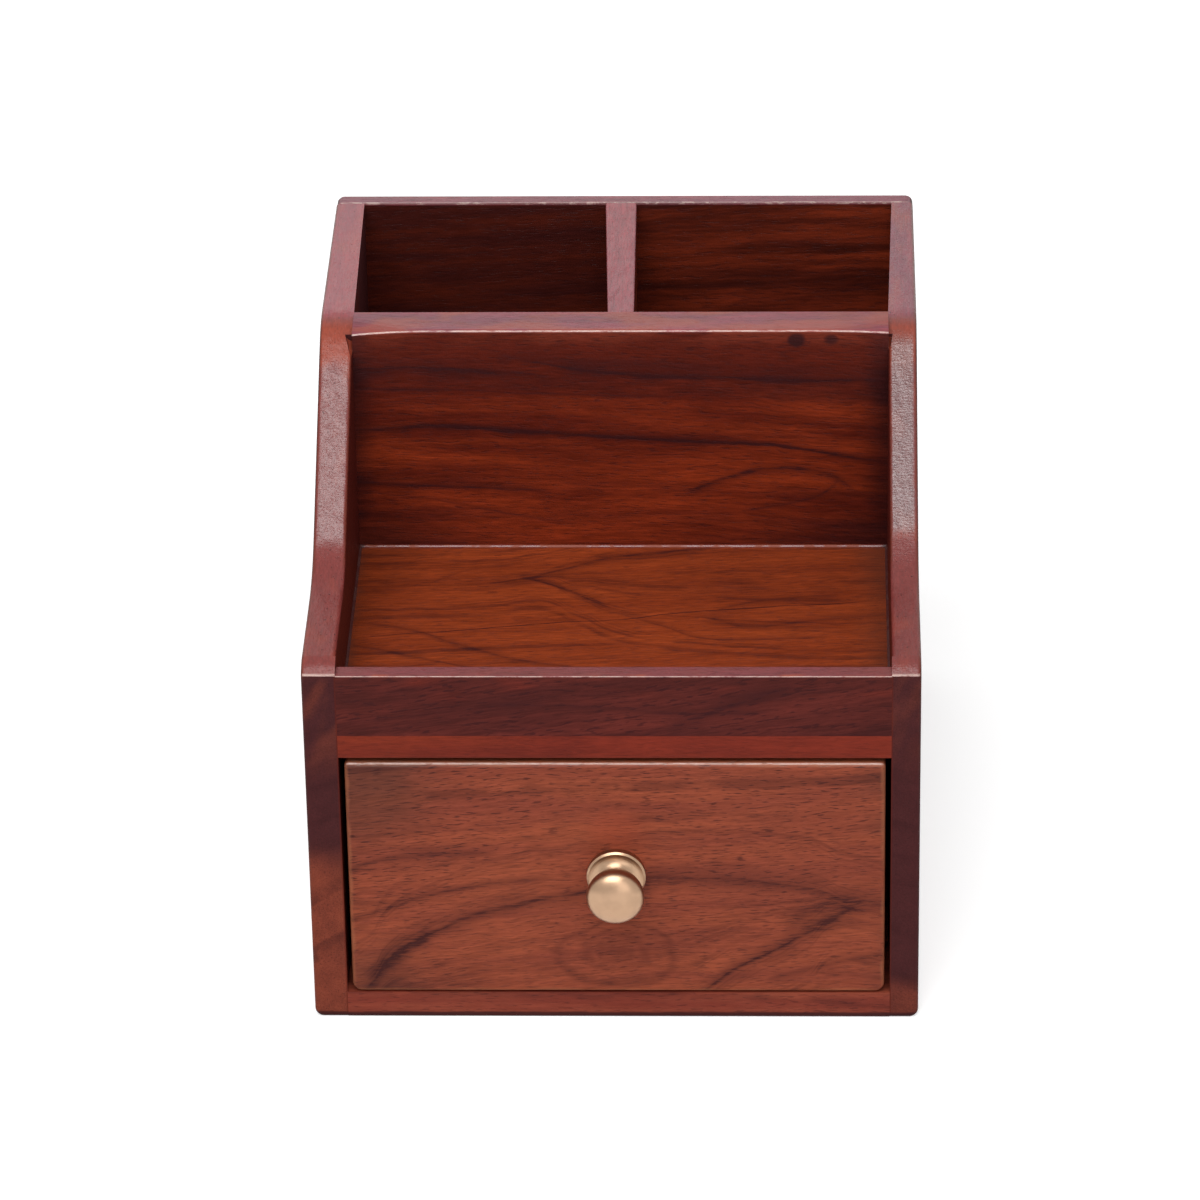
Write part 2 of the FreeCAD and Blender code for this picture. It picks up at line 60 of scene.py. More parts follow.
def wood_colour(name, description, red, green, blue):
    return FloatVectorProperty(name=name, description=description, default=tone(red, green, blue),
                               subtype="COLOR", size=3, min=0.0, max=1.0)


# ---------------------------------------------------------------- shader sums

def sums(operation, reflected=False):
    """An operator of Value, or its reflected form, which has the value on the right."""
    def operator(self, other):
        terms = (other, self) if reflected else (self, other)
        return self.paint.math(operation, *terms)
    return operator


class Value:
    """A number that changes over a surface.  Adding or multiplying values adds their Math nodes."""

    def __init__(self, paint, socket):
        self.paint = paint
        self.socket = socket

    __add__, __radd__ = sums("ADD"), sums("ADD", reflected=True)
    __sub__, __rsub__ = sums("SUBTRACT"), sums("SUBTRACT", reflected=True)
    __mul__, __rmul__ = sums("MULTIPLY"), sums("MULTIPLY", reflected=True)
    __truediv__ = sums("DIVIDE")

    def __abs__(self):
        return self.paint.math("ABSOLUTE", self)


class Nodes:
    """The nodes of a material or of the room's light, and the sums that link them."""

    def __init__(self, holder):
        holder.use_nodes = True
        self.tree = holder.node_tree
        self.tree.nodes.clear()

    def node(self, kind, settings=None, sockets=None):
        made = self.tree.nodes.new(kind)
        for name, setting in (settings or {}).items():
            if name == "points":
                self.set_points(made.mapping, setting)
            else:
                setattr(made, name, setting)
        for key, value in (sockets or {}).items():
            socket = made.inputs[key]
            if isinstance(value, Value):
                value = value.socket
            if isinstance(value, bpy.types.NodeSocket):
                self.tree.links.new(value, socket)
            elif socket.type == "RGBA" and len(value) == 3:
                socket.default_value = (*value, 1.0)
            else:
                socket.default_value = value
        return made

    @staticmethod
    def set_points(mapping, points):
        curve = mapping.curves[0]
        curve.points[0].location = points[0]
        curve.points[1].location = points[-1]
        for place in points[1:-1]:
            curve.points.new(*place)
        mapping.update()

    def math(self, operation, *terms):
        made = self.node("ShaderNodeMath", {"operation": operation}, dict(enumerate(terms)))
        return Value(self, made.outputs[0])

    def seen(self):
        """1 for rays that come from the camera or from a mirror or glass, where white stays white."""
        path = self.node("ShaderNodeLightPath").outputs
        rays = [Value(self, path[name]) for name in ("Is Camera Ray", "Is Glossy Ray", "Is Transmission Ray")]
        return self.math("MAXIMUM", self.math("MAXIMUM", rays[0], rays[1]), rays[2])


class Paint(Nodes):
    """One material.  Places are in millimetres on the stand."""

    def __init__(self, name):
        self.material = bpy.data.materials.new(name)
        super().__init__(self.material)
        spot = self.node("ShaderNodeTexCoord").outputs["Object"]
        in_mm = self.node("ShaderNodeVectorMath", {"operation": "SCALE"}, {0: spot, "Scale": 1 / MM})
        apart = self.node("ShaderNodeSeparateXYZ", {}, {0: in_mm.outputs[0]})
        self.x, self.y, self.z = [Value(self, apart.outputs[index]) for index in range(3)]

    def noise(self, x, y, z, detail=2.0, roughness=0.5):
        spot = self.node("ShaderNodeCombineXYZ", {}, {0: x, 1: y, 2: z}).outputs[0]
        made = self.node("ShaderNodeTexNoise", {"noise_dimensions": "3D"},
                         {"Vector": spot, "Scale": 1.0, "Detail": detail, "Roughness": roughness})
        return Value(self, made.outputs[0])

    def noise_along(self, line, detail=2.0, roughness=0.5):
        made = self.node("ShaderNodeTexNoise", {"noise_dimensions": "1D"},
                         {"W": line, "Scale": 1.0, "Detail": detail, "Roughness": roughness})
        return Value(self, made.outputs[0])

    def ramp(self, value, low, high, start, end):
        made = self.node("ShaderNodeMapRange", {"interpolation_type": "SMOOTHSTEP"},
                         {"Value": value, "From Min": low, "From Max": high, "To Min": start, "To Max": end})
        return Value(self, made.outputs[0])

    def rise(self, value, low, high, top=1.0):
        """0 up to low, then smoothly up to top at high."""
        return self.ramp(value, low, high, 0.0, top)

    def fall(self, value, low, high, top=1.0):
        """top up to low, then smoothly down to 0 at high."""
        return self.ramp(value, low, high, top, 0.0)

    def mix(self, share, first, second, blend="MIX"):
        made = self.node("ShaderNodeMix", {"data_type": "RGBA", "blend_type": blend},
                         {0: share, 6: first, 7: second})
        return made.outputs[2]

    def relief(self, height):
        """The surface's normals, raised by a height in millimetres."""
        return self.node("ShaderNodeBump", {}, {"Height": height, "Distance": MM}).outputs[0]

    def surface(self, **sockets):
        names = {key.replace("_", " "): value for key, value in sockets.items()}
        names = {"Specular IOR Level" if key == "Specular" else key: names[key] for key in names}
        return self.node("ShaderNodeBsdfPrincipled", {}, names).outputs[0]

    def finish(self, shader):
        self.node("ShaderNodeOutputMaterial", {}, {"Surface": shader})
        return self.material


class Timber(Paint):
    """The wood of one board: which way its fibres run, how they bow, and where the tree's heart lay."""

    def __init__(self, name, along, across, through, slope=0.0, bow=0.0, heart=(-40.0, -60.0), wander=6.0,
                 pitch=2.7):
        super().__init__(name)
        self.along, self.across, self.through = [getattr(self, axis) for axis in (along, across, through)]
        drift = self.noise(self.along * 0.014, self.across * 0.045, self.through * 0.045, 3.0)
        self.waver = self.noise(self.along * 0.1, self.across * 0.13, self.through * 0.13, 3.0)
        self.stray = self.waver - 0.5
        self.swell = self.noise(self.along * 0.06 + 40, self.across * 0.15, self.through * 0.15)
        straight = self.across - self.along * slope - self.along * self.along * bow
        self.flow = straight + (drift - 0.5) * wander + self.stray * 1.4
        up = self.flow - heart[0]
        deep = self.through - heart[1]
        self.ring = self.math("SQRT", up * up + deep * deep)
        self.figure = None
        self.fibre = self.noise(self.along * 0.17, self.flow * 1.9, self.through * 1.9, 3.0, 0.65)
        self.streak = self.noise(self.along * 0.013, self.flow * 0.17, self.through * 0.17, 4.0, 0.6)
        self.cloud = self.noise(self.along * 0.03, self.across * 0.045, self.through * 0.03, 2.0)
        dash = self.noise(self.along * 0.3, self.flow * pitch, self.through * pitch, 1.0)
        self.pores = self.rise(dash, 0.57, 0.7)

    def height_at(self, points):
        """A line through points in millimetres: how far along it a place is, and the line's height there."""
        start, end = points[0][0], points[-1][0]
        heights = [height for _, height in points]
        low, span = min(heights) - 1.0, max(heights) - min(heights) + 2.0
        share = (self.along - start) / (end - start)
        shape = [((place - start) / (end - start), (height - low) / span) for place, height in points]
        curve = self.node("ShaderNodeFloatCurve", {"points": shape}, {"Value": share})
        return share, Value(self, curve.outputs[0]) * span + low

    def stroke(self, points, width, strength=1.0, smoke=0.0, soft=3.2, core=0.6):
        """A bold growth line through points in millimetres, with smoke that fades off to one side of it."""
        share, height = self.height_at(points)
        above = self.across - height + (self.swell - 0.5) * 1.6 + self.stray * 0.5
        reach = abs(above) / ((self.waver - 0.1) * (width * 1.3))
        line = self.fall(reach, 0.0, 1.2) * core + self.fall(reach, 0.3, soft) * 0.4
        if smoke:
            side = above * (1 if smoke > 0 else -1)
            line = line + self.rise(side, -0.5, 0.5) * self.fall(side, 0.0, abs(smoke)) * 0.55
        ends = self.rise(share, 0.0, 0.14) * self.fall(share, 0.86, 1.0)
        return line * ends * self.rise(self.fibre, 0.2, 0.72, 1.7) * strength

    def strokes(self, *rows):
        """Bold lines laid over one another.  A row holds points, width, strength, smoke, soft and core."""
        lines = [self.stroke(*row) for row in rows]
        marks = lines[0]
        for line in lines[1:]:
            marks = marks + line
        return marks

    def oval(self, along, across, length, height):
        """How far a place lies from the middle of an oval, squared: 1 on its rim."""
        off, up = (self.along - along) / length, (self.across - across) / height
        return off * off + up * up

    def leaf(self, upper, lower):
        """Rings nested between two bold ones that meet in a point, and those that pass round them."""
        top, bottom = self.height_at(upper)[1], self.height_at(lower)[1]
        half = self.math("MAXIMUM", (top - bottom) * 0.5, 1.2)
        off = abs(self.across - (top + bottom) * 0.5 + self.stray * 2.5)
        outside = self.math("MAXIMUM", off - half, 0.0)
        self.ring = self.math("MINIMUM", off / half, 1.0) * 20 + outside
        self.figure = self.fall(outside, 10.0, 26.0)

    def growth(self, count, low=0.48, high=0.72):
        """Growth lines, so many to the millimetre, which come and go along the board."""
        lines = self.rise(self.noise_along(self.ring * count, 3.0, 0.6), low, high)
        if self.figure is not None:
            straight = self.rise(self.noise_along(self.flow * count, 3.0, 0.6), low, high)
            lines = lines * self.figure + straight * (1 - self.figure)
        return lines * self.rise(self.swell, 0.3, 0.6)

    def colour(self, pale, dark, line, growth, marks=0.0, pore=0.5, grain=0.55):
        """Pale and dark wood in streaks, with growth lines, bold marks, fibres and pores laid over them."""
        wood = self.mix(self.rise(self.streak, 0.32, 0.66), pale, dark)
        wood = self.mix(self.rise(self.cloud, 0.35, 0.7) * 0.35, wood, dark)
        wood = self.mix(self.math("MINIMUM", growth * 0.42 + marks, 0.9), wood, line)
        wood = self.mix(1.0, wood, self.grey(1 + (self.fibre - 0.5) * grain), "MULTIPLY")
        return self.mix(self.pores * pore, wood, line)

    def grey(self, value):
        return self.node("ShaderNodeCombineColor", {}, {0: value, 1: value, 2: value}).outputs[0]

    def facing(self):
        """How far a face looks ahead, and how far it looks up."""
        face = self.node("ShaderNodeNewGeometry").outputs["Normal"]
        face = self.node("ShaderNodeSeparateXYZ", {}, {0: face}).outputs
        return Value(self, face[1]) * -1, Value(self, face[2])

    def upward(self):
        """1 on a face that looks up, down to 0 where it stands steep."""
        return self.rise(self.facing()[1], 0.3, 0.65)

    def add_painted_highlight(self, colour, painted_highlight, strength=1.0):
        """The colour with a painted highlight: a broken pale line laid along a front arris, where the lacquer would
        catch the light.
        """
        ahead, up = self.facing()
        arris = self.rise(ahead, 0.38, 0.6) * self.rise(up, 0.42, 0.62)
        broken = self.noise(self.x * 0.25, self.y * 0.9, self.z * 0.9, 3.0, 0.75)
        return self.mix(arris * self.rise(broken, 0.26, 0.58, strength), colour, painted_highlight)

    def lacquer(self, colour, coat, relief=0.0, peel=0.05, pore=0.03, gloss=0.24, roughness=0.5, index=1.5):
        """Brushed lacquer over the wood: sunk pores, raised fibres and slight orange peel, in millimetres."""
        skin = self.noise(self.x * 1.8, self.y * 1.8, self.z * 1.8, 3.0, 0.6)
        relief = self.relief(relief + skin * peel + self.fibre * 0.012 - self.pores * pore)
        rough = roughness + (self.fibre - 0.5) * 0.2
        dull = self.surface(Base_Color=colour, Roughness=rough, Specular=0.06, Normal=relief)
        if coat is None:
            return self.finish(dull)
        shiny = self.surface(Base_Color=colour, Roughness=gloss + (self.fibre - 0.5) * 0.06, IOR=index,
                             Specular=0.5, Normal=relief)
        coat = coat * (0.9 + (skin - 0.5) * 0.7)
        return self.finish(self.node("ShaderNodeMixShader", {}, {0: coat, 1: dull, 2: shiny}).outputs[0])


# ---------------------------------------------------------------- sizes and colours

class PenStandTones(bpy.types.PropertyGroup):
    """The colours of the woods, the lacquer and the metals."""

    side_pale: wood_colour("Side, pale", "Redder bands of the side boards", 122, 58, 42)
    side_dark: wood_colour("Side, dark", "Plum-coloured bands of the side boards", 68, 31, 32)
    rim_pale: wood_colour("Rim, pale", "Sanded top edges of the boards", 140, 57, 62)
    rim_dark: wood_colour("Rim, dark", "Darker stretches of the sanded top edges", 114, 47, 61)
    ledge: wood_colour("Ledge", "Duller wood of the sides' low front ledges", 114, 51, 47)
    arris: wood_colour("Arris line", "Dark orange line along the slopes' arrises", 96, 36, 20)
    # Painted highlight: the pale colour laid along rounded front arrises.
    painted_highlight: wood_colour("Sheen", "Shine of the lacquer on a rounded arris", 200, 172, 162)
    # Also used for the painted shade along the tray floor's side walls.
    smoke: wood_colour("Smoke", "Olive brown of the drawer front's dull corners", 88, 48, 37)
    # Also used for painted light: the shaded nick at the sides' shoulders, the highlight near the pen box front's top,
    # and the knob's reflection above it.
    worn: wood_colour("Worn arris", "Orange wood that shows where an arris is worn", 146, 66, 46)
    tray_pale: wood_colour("Tray, pale", "Orange wood of the tray's floor", 138, 58, 27)
    tray_dark: wood_colour("Tray, dark", "Red-brown wood of the tray's floor", 120, 48, 23)
    panel_pale: wood_colour("Pen box front, pale", "Lighter streaks of the pen box's front", 132, 48, 22)
    # Also used for the painted shade on the side boards' inner faces.
    panel_dark: wood_colour("Pen box front, dark", "Darker streaks of the pen box's front", 84, 26, 15)
    back_pale: wood_colour("Back, pale", "Lighter streaks of the back", 122, 44, 23)
    back_dark: wood_colour("Back, dark", "Darker streaks of the back", 62, 20, 12)
    lip_pale: wood_colour("Lip, pale", "Lighter streaks of the lip", 90, 36, 30)
    lip_dark: wood_colour("Lip, dark", "Darker streaks of the lip", 69, 27, 24)
    edge_pale: wood_colour("Shelf edge, pale", "Front edge of the shelf", 119, 43, 29)
    edge_dark: wood_colour("Shelf edge, dark", "Darker streaks of that edge", 103, 37, 27)
    base_pale: wood_colour("Base, pale", "Front edge of the base", 136, 66, 48)
    base_dark: wood_colour("Base, dark", "Darker streaks of the base", 116, 50, 38)
    drawer_pale: wood_colour("Drawer front, pale", "Lighter wood of the drawer front", 141, 69, 46)
    drawer_dark: wood_colour("Drawer front, dark", "Darker wood of the drawer front", 123, 58, 42)
    tan: wood_colour("Worn lacquer", "Tan wood on the drawer front's arrises", 158, 96, 66)
    box_pale: wood_colour("Drawer box, pale", "Bare wood of the drawer's sides and back", 150, 92, 58)
    box_dark: wood_colour("Drawer box, dark", "Darker streaks of that bare wood", 112, 62, 40)
    ply_pale: wood_colour("Drawer bottom, pale", "Thin board under the drawer", 168, 122, 82)
    ply_dark: wood_colour("Drawer bottom, dark", "Darker streaks of the thin board", 138, 94, 60)
    # Also used for painted shade: the contact shadow along the bottom of the sides and base, and the right side's rim.
    line: wood_colour("Growth lines", "Dark growth lines and pores", 46, 18, 20)
    putty: wood_colour("Putty", "Wood filler over the brads", 92, 42, 32)
    brass: wood_colour("Brass", "Lacquered brass of the knob", 177, 145, 118)
    zinc: wood_colour("Zinc", "Plated screw and washer", 190, 192, 190)
    wire: wood_colour("Wire", "Plain wire nails", 140, 138, 134)


class PenStandStage(bpy.types.PropertyGroup):
    """Where the camera stands, and how strong the lamps are."""

    pitch: FloatProperty(name="Pitch", description="How far the camera looks down",
                         default=math.radians(29.623), subtype="ANGLE")
    yaw: FloatProperty(name="Yaw", description="How far the camera is turned to the left",
                       default=math.radians(2.033), subtype="ANGLE")
    roll: FloatProperty(name="Roll", description="How far the camera leans",
                        default=math.radians(-1.019), subtype="ANGLE")
    distance: FloatProperty(name="Distance", description="From the camera to the stand's middle",
                            default=1.678, min=0.1, subtype="DISTANCE", unit="LENGTH")
    aside: FloatProperty(name="Aside", description="How far the camera is moved sideways",
                         default=-0.0053, subtype="DISTANCE", unit="LENGTH")
    raised: FloatProperty(name="Raised", description="How far the camera is moved up its own picture",
                          default=-0.0019, subtype="DISTANCE", unit="LENGTH")
    aim_height: FloatProperty(name="Aim height", description="Height of the point looked at",
                              default=0.0737, subtype="DISTANCE", unit="LENGTH")
    lens: FloatProperty(name="Lens", description="Focal length", default=195.0, min=1.0, unit="CAMERA")
    softbox: FloatProperty(name="Softbox", description="Power of the large lamp above", default=11.0,
                           min=0.0, subtype="POWER", unit="POWER")
    room: FloatProperty(name="Room light", description="Light from all round", default=0.4, min=0.0)
    floor_glow: FloatProperty(name="Floor glow", description="Whiteness added to the floor in view",
                              default=0.5, min=0.0)


class PenStandBeads(bpy.types.PropertyGroup):
    """The lacquer that pooled along the tray's inner joints."""

    width: FloatProperty(name="Width", description="How far the bead reaches over each board",
                         default=0.0006, min=0.0001, subtype="DISTANCE", unit="LENGTH")
    unevenness: FloatProperty(name="Unevenness", description="How far the bead's edge strays",
                              default=0.00006, min=0.0, subtype="DISTANCE", unit="LENGTH")
    cuts: IntProperty(name="Cuts", description="Rings along the longest bead", default=40, min=4)


def corners(node):
    """The low and the high corner of a piece of the frame, in millimetres."""
    return [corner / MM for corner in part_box(node)]


def dress(node, material):
    """Gives a board or fitting of the frame its material, in the slots it already has."""
    piece = NODES[node]
    if not piece.material_slots:
        raise RuntimeError(node + " has no material slot")
    for place in piece.material_slots:
        place.material = material


# ---------------------------------------------------------------- boards of the case

class PENSTAND_OT_sides(bpy.types.Operator):
    """Finish the two swept side boards"""

    bl_idname = "penstand.sides"
    bl_label = "Side boards"

    def execute(self, context):
        tones = context.scene.pen_stand_tones
        dress("left_side", self.wood("left_side", tones, 36.0, (-60.0, -20.0), (106.5, 136.5), 0.8, 0.0))
        dress("right_side", self.wood("right_side", tones, -40.0, (-75.0, 30.0), (108.5, 140.5), 2.0, 0.5))
        return {"FINISHED"}

    @staticmethod
    def wood(node, tones, plum_from, heart, glossy, ripple, darker):
        """One side board: where its plum wood begins, where its slope's gloss runs and how rough that is."""
        low, high = corners(node)
        wood = Timber(node + "_wood", "y", "z", "x", slope=0.03, bow=0.0003, heart=heart)
        growth = wood.growth(0.14)
        behind = wood.rise(wood.y, low.y + 6, low.y + 30)
        blot = (wood.cloud - 0.5) * 24 + (wood.streak - 0.5) * behind * 60
        plum = wood.rise(wood.z + blot, plum_from - behind * 8, plum_from + 16 + behind * 26)
        rusty = wood.noise(wood.x * 0.1, wood.y * 0.03, wood.z * 0.09 - wood.x * 0.09, 3.0)
        rusty = wood.rise(rusty, 0.42, 0.68) * wood.rise(wood.z, 66.0, 84.0) * wood.fall(wood.y, low.y + 2, low.y + 9)
        plum = plum * (1 - rusty * (0.5 - 0.5 * darker))
        face = wood.mix(plum, tones.side_pale, tones.side_dark)
        face = wood.mix(wood.fall(wood.z + blot * 0.3, 5.0, 13.0) * 0.6, face, tones.side_pale)
        body = wood.colour(face, wood.mix(0.25, face, tones.line), tones.line, growth, pore=0.4, grain=0.8)

        # The lacquer lies thickest on the slope, off its arrises, and thin on the front edge.
        from_outer = wood.x - low.x if node == "left_side" else high.x - wood.x
        from_inner = (high.x - low.x) - from_outer
        stray = wood.stray * 0.9
        thick = wood.rise(wood.z + stray, glossy[0], glossy[0] + 2.5)
        thick = thick * wood.fall(wood.z + stray * 2, glossy[1], glossy[1] + 3.5)
        thick = thick * wood.rise(from_outer + stray, 0.4, 1.6) * wood.rise(from_inner + stray, 0.5, 1.1)

        top = high.z
        lip_top = corners("front_lip")[1].z
        flat = wood.rise(wood.z, top - 1.8, top - 0.1)

        # The sanded top edge: paler and pinker at the rear, with small round pores and thin dark arrises.
        speck = wood.noise(wood.x * 1.5, wood.y * 1.1, wood.z * 1.1, 1.0)
        specks = wood.rise(speck, 0.7, 0.78)
        # On the right board, darker takes the rim to its dark tone: partly the wood's tone, partly painted shade, as if
        # the light fell from the left.
        rim = wood.mix(wood.rise(wood.streak, 0.4, 0.6) * 0.5 + darker, tones.rim_pale, tones.rim_dark)
        rim = wood.mix(wood.fall(wood.z, top - 0.8, top - 0.1) * 0.95, rim, tones.ledge)
        # The shoulder is taken toward orange: partly worn wood, partly painted light in the shaded nick at the
        # shoulder.
        shoulder = wood.rise(wood.z + blot * 0.15, top - 9.8, top - 6.3) * (1 - flat)
        rim = wood.mix(shoulder * 0.7, rim, tones.worn)
        rim = wood.mix(wood.rise(wood.swell, 0.5, 0.75) * 0.5, rim, tones.worn)
        rim = wood.mix(thick * (0.2 + 0.8 * darker), rim, tones.side_dark)
        # Painted shade: the right board's rim is taken a little toward the line colour, as if the light fell from the
        # left.
        rim = wood.mix(0.12 * darker, rim, tones.line)
        rim = wood.mix(1.0, rim, wood.grey(1 + (wood.fibre - 0.5) * 0.9), "MULTIPLY")
        rim = wood.mix(specks * 0.7, rim, tones.line)
        sloping = wood.rise(wood.z, lip_top + 3.5, lip_top + 6.5) * wood.fall(wood.z, top - 4.3, top - 1.3)
        rim = wood.mix(wood.fall(from_outer + stray, 0.3, 0.85) * 0.75, rim, tones.arris)
        rim = wood.mix(wood.fall(from_inner + stray, 0.4, 0.85) * sloping * 0.85, rim, tones.arris)
        on_rim = wood.upward()
        # Painted shade: the inner faces, down in the tray, pockets and drawer opening, are darkened toward the pen box
        # front's dark tone.
        body = wood.mix(wood.fall(from_inner, 0.1, 0.5) * 0.6, body, tones.panel_dark)
        colour = wood.mix(on_rim, body, rim)
        # Painted highlight along the front arris at the lip's height.
        colour = wood.add_painted_highlight(colour, tones.painted_highlight, wood.fall(abs(wood.z - lip_top), 0.25, 0.6) * 0.65)
        # Painted shade: the lowest two millimetres are darkened toward the line colour, standing for the contact shadow
        # at the floor.
        painted_contact_shade = wood.fall(wood.z + wood.waver * 0.8, 1.6, 2.4) * 0.9
        colour = wood.mix(painted_contact_shade, colour, tones.line)

        coat = on_rim * (0.28 + thick * (0.48 + 0.22 * darker) + flat * (0.54 - 0.06 * darker))
        swell = wood.noise(wood.x * 0.4, wood.y * 0.22, wood.z * 0.22)
        scratch = wood.noise(wood.x * 0.8, wood.y * 2.4, wood.z * 2.4, 2.0)
        relief = (swell - 0.5) * 0.25 + scratch * on_rim * (0.05 * ripple) - specks * 0.06
        return wood.lacquer(colour, coat, relief=relief, peel=0.04 * ripple, index=1.62 + 0.1 * ripple)


class PENSTAND_OT_tray(bpy.types.Operator):
    """Finish the shelf board, whose top is the tray's floor, and the lip in front of it"""

    bl_idname = "penstand.tray"
    bl_label = "Tray floor and lip"

    def execute(self, context):
        tones = context.scene.pen_stand_tones
        dress("shelf_board", self.floor_wood(tones))
        dress("front_lip", self.lip_wood(tones))
        return {"FINISHED"}

    @staticmethod
    def floor_wood(tones):
        front = corners("shelf_board")[0].y
        wood = Timber("shelf_board_wood", "x", "y", "z", slope=0.06)
        upper = [(-72, -12.0), (-45, -11.0), (-31, -9.9), (-23, -7.4), (-12, -2.2), (-3, 3.2), (9.5, 5.4),
                 (20, 7.6), (45, 10.0), (72, 11.0)]
        lower = [(-72, -13.5), (-45, -12.0), (-31, -10.7), (-23, -8.4), (-12, -15.2), (-7, -19.1), (-2, -23.5),
                 (12, -29.0), (40, -33.0), (72, -34.0)]
        wood.leaf(upper, lower)
        growth = wood.growth(0.22, 0.44, 0.7)
        marks = wood.strokes(
            ([(-72, -40.2), (-58, -37.2), (-45, -35.6), (-32, -33.4), (-14, -30.8), (0, -29.5), (15, -26.2),
              (38, -22.9), (54, -21.3), (72, -19.5)], 0.4, 1.1, 0.0, 1.4),
            ([(-36, -11.6), (-28, -9.2), (-23, -7.6), (-19, -5.5), (-12, -2.2), (-3, 2.6), (9.5, 5.4), (24, 8.2)],
              1.3, 0.4, -5.0),
            ([(-27, -6.5), (-19, -10.4), (-12, -15.2), (-7, -19.1), (-1, -24.0)], 1.2, 0.4, 5.0),
            ([(-68, -30.2), (-58, -32.2), (-52, -34.3), (-43, -39.9), (-33, -45.3), (-24, -49.7), (-15, -52.2),
              (-3, -54.6)], 1.6, 0.4, -3.0, 3.2, 0.3),
            ([(-71, -41.6), (-60, -44.4), (-51, -48.0), (-41, -52.0), (-31, -55.0)], 1.5, 0.4),
            ([(2, -28.0), (12, -33.0), (20, -38.4), (25, -39.6), (37, -39.6), (56, -38.0)], 0.9, 0.34, 3.0),
            ([(18, -26.0), (27, -30.6), (35, -33.2), (42, -31.6), (54, -29.1), (72, -27.2)], 1.8, 0.28, 7.0),
            ([(22, -26.6), (34, -20.3), (42, -18.4), (58, -16.6)], 1.2, 0.3, -6.0),
            ([(-50, -12.5), (-42, -5.5), (-37, -3.1), (-26, -1.2)], 1.0, 0.25),
        )
        colour = wood.colour(tones.tray_pale, tones.tray_dark, tones.line, growth * 1.35, marks, pore=0.4, grain=1.4)
        # Painted shade: the floor darkens toward olive brown along the side walls.
        dull = wood.rise(wood.x + (wood.cloud - 0.5) * 14, 58.0, 70.0)
        dull = dull + wood.fall(wood.x + (wood.swell - 0.5) * 6, -68.0, -64.0)
        colour = wood.mix(dull * 0.5, colour, tones.smoke)
        ruddy = wood.fall(wood.x + (wood.cloud - 0.5) * 40, -50.0, -15.0, 0.25)
        edge = wood.colour(wood.mix(ruddy, tones.edge_pale, tones.tray_pale), tones.edge_dark, tones.line, growth * 0.5,
                           pore=0.2, grain=0.9)
        on_front = wood.fall(wood.y, front + 0.25, front + 0.6)
        colour = wood.mix(on_front, colour, edge)
        return wood.lacquer(colour, (1 - on_front) * 0.3, gloss=0.2)

    @staticmethod
    def lip_wood(tones):
        front = corners("front_lip")[0].y
        wood = Timber("front_lip_wood", "x", "z", "y", slope=0.14, heart=(30.0, -150.0), wander=7.0, pitch=1.5)
        growth = wood.growth(0.2)
        marks = wood.strokes(
            ([(12, 85.0), (22, 88.7), (29, 92.1), (37, 95.0), (47, 97.6)], 5.0, 0.28, -6.0),
            ([(-34, 91.5), (-5, 90.5), (20, 89.0), (44, 90.0)], 1.2, 0.35),
        )
        rusty = wood.rise(wood.swell, 0.5, 0.68) * wood.rise(wood.z + (wood.cloud - 0.5) * 12, 88.0, 97.0)
        body = wood.mix(rusty * 0.6, tones.lip_pale, tones.edge_pale)
        body = wood.colour(body, tones.lip_dark, tones.line, growth, marks, pore=0.6, grain=1.3)
        rim = wood.colour(tones.ledge, wood.mix(0.4, tones.ledge, tones.rim_dark), tones.line, growth * 0.5,
                          pore=0.2, grain=1.0)
        rim = wood.mix(wood.rise(wood.waver, 0.55, 0.7) * wood.fall(wood.y, front + 0.5, front + 1.6), rim, tones.worn)
        on_top = wood.upward()
        # Painted highlight along the lip's front arris.
        colour = wood.add_painted_highlight(wood.mix(on_top, body, rim), tones.painted_highlight, 0.65)
        return wood.lacquer(colour, on_top * 0.55, peel=0.08)


